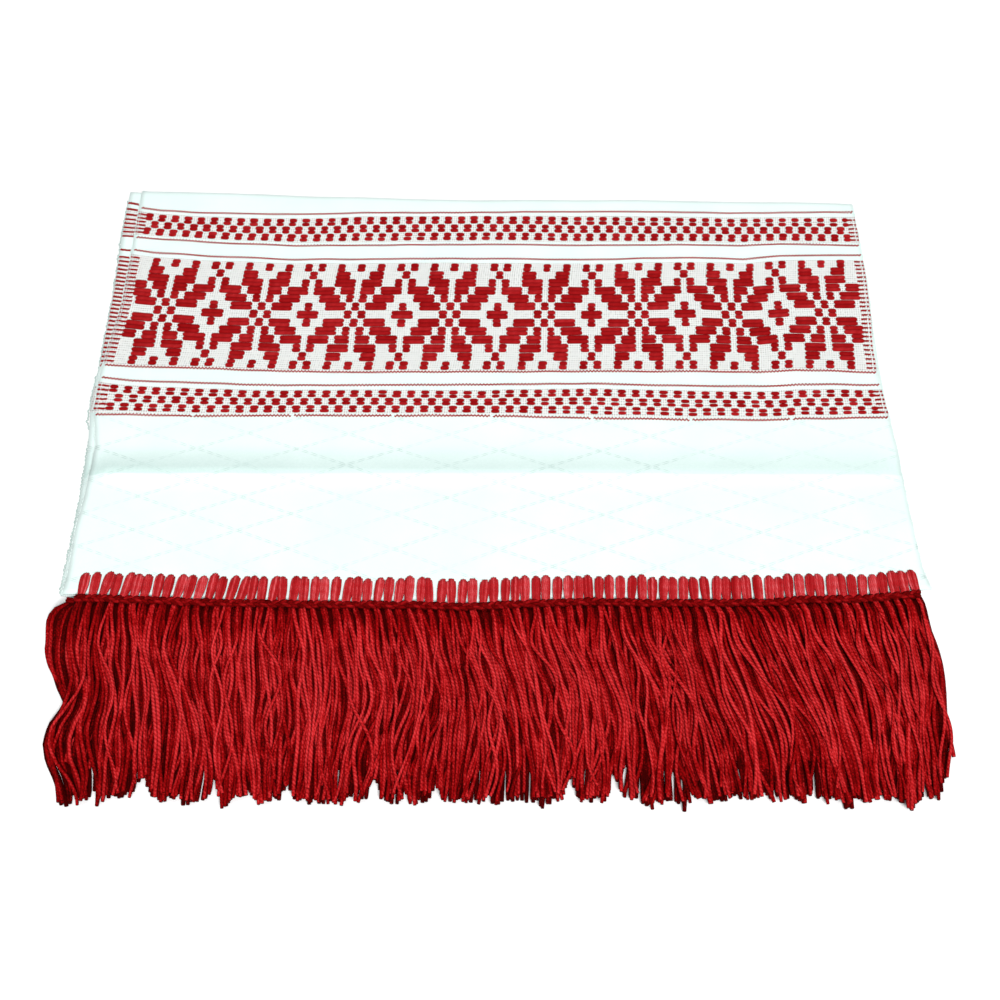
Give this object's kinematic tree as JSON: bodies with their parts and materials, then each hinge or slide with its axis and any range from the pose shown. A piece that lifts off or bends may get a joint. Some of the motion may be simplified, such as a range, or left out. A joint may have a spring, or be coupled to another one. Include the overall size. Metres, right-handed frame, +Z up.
{
  "type": "folded rushnyk ritual towel",
  "caption": "White woven cotton towel folded flat into layers, with red woven star and check bands and a long red yarn fringe at its hems.",
  "frame": {"origin": "middle of the box that holds the folded towel and its fringes, on the surface that it lies on", "axes": "+X along the hem, towards the right selvedge; +Y from the fringe towards the back folds; +Z up"},
  "size_m": [0.3733, 0.3172, 0.0127],
  "materials": {
    "white_cotton": "matt twill cotton with a faint woven figure",
    "red_yarn": "matt plied cotton yarn"
  },
  "bodies": {
    "root": {"towel_cloth": "white_cotton", "upper_fringe": "red_yarn", "lower_fringe": "red_yarn"}
  },
  "joints": []
}
